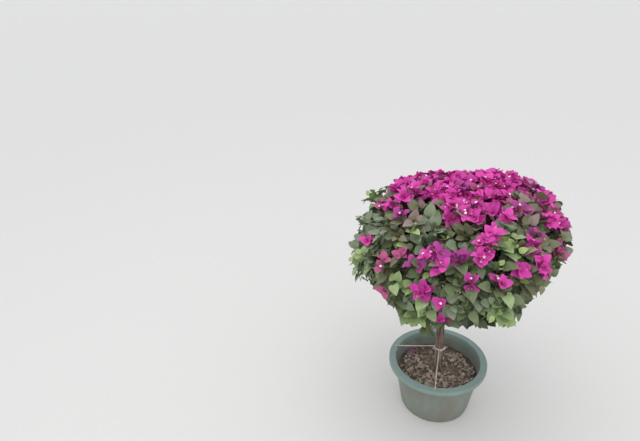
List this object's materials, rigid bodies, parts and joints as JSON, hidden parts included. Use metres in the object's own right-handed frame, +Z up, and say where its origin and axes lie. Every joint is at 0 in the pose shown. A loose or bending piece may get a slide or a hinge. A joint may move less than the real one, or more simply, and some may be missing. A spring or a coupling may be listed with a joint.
{
  "type": "potted bougainvillea bush",
  "caption": "Bougainvillea bush grown as a small standard: a broad round crown of green leaves and magenta bracts on a straight trunk, in a round pot of soil.",
  "frame": {"origin": "centre of the pot's flat underside, on the floor", "axes": "+Z is up along the trunk, +X to the right and -Y to the front as the picture shows the plant"},
  "size_m": [0.685, 0.671, 0.8557],
  "materials": {
    "pot": "dusty grey-teal plastic",
    "soil": "gravelly potting soil",
    "bark": "brown-grey bark",
    "leaf": "matt green leaves",
    "bract": "papery magenta bracts",
    "twine": "twisted pale twine"
  },
  "bodies": {
    "root": {"pot": "pot", "soil": "soil", "trunk": "bark", "bough_top": "bark", "bough_upper_front": "bark", "bough_upper_back": "bark", "bough_upper_left": "bark", "bough_lower_front": "bark", "bough_lower_right_front": "bark", "bough_lower_right_back": "bark", "bough_lower_left_back": "bark", "bough_lower_left_front": "bark", "foliage_top": "bract", "foliage_upper_front": "bract", "foliage_upper_back": "bract", "foliage_upper_left": "bract", "foliage_lower_front": "leaf", "foliage_lower_right_front": "leaf", "foliage_lower_right_back": "leaf", "foliage_lower_left_back": "leaf", "foliage_lower_left_front": "leaf", "twine_loop": "twine", "twine_left": "twine", "twine_front": "twine"}
  },
  "joints": []
}
